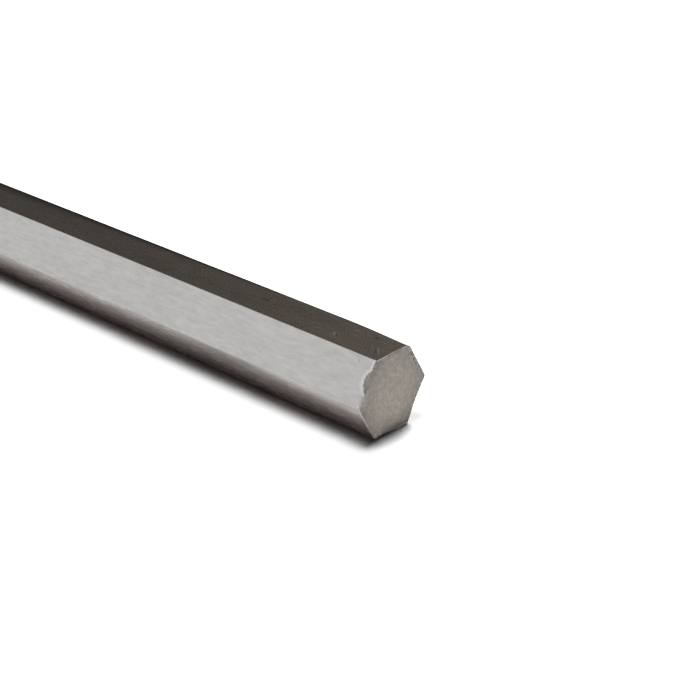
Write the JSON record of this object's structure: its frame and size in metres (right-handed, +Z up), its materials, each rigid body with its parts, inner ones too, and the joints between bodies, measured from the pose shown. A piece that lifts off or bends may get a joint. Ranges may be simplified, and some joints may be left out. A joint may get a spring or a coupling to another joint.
{
  "type": "hex bar stock",
  "caption": "Straight length of cold-drawn hexagonal steel bar with sawn ends, raw stock for machining nuts, fittings, standoffs and shafts.",
  "frame": {"origin": "middle of the flat that the bar rests on, halfway along the bar", "axes": "+X along the bar to the end that was dressed by hand, +Z up and square to the resting flat, +Y across the bar from one long edge to the opposite one"},
  "size_m": [0.3048, 0.0292, 0.0254],
  "materials": {
    "drawn_steel": "satin cold-drawn flats with fine draw lines along the bar, duller sawn ends"
  },
  "bodies": {
    "root": {"hex_bar": "drawn_steel"}
  },
  "joints": []
}
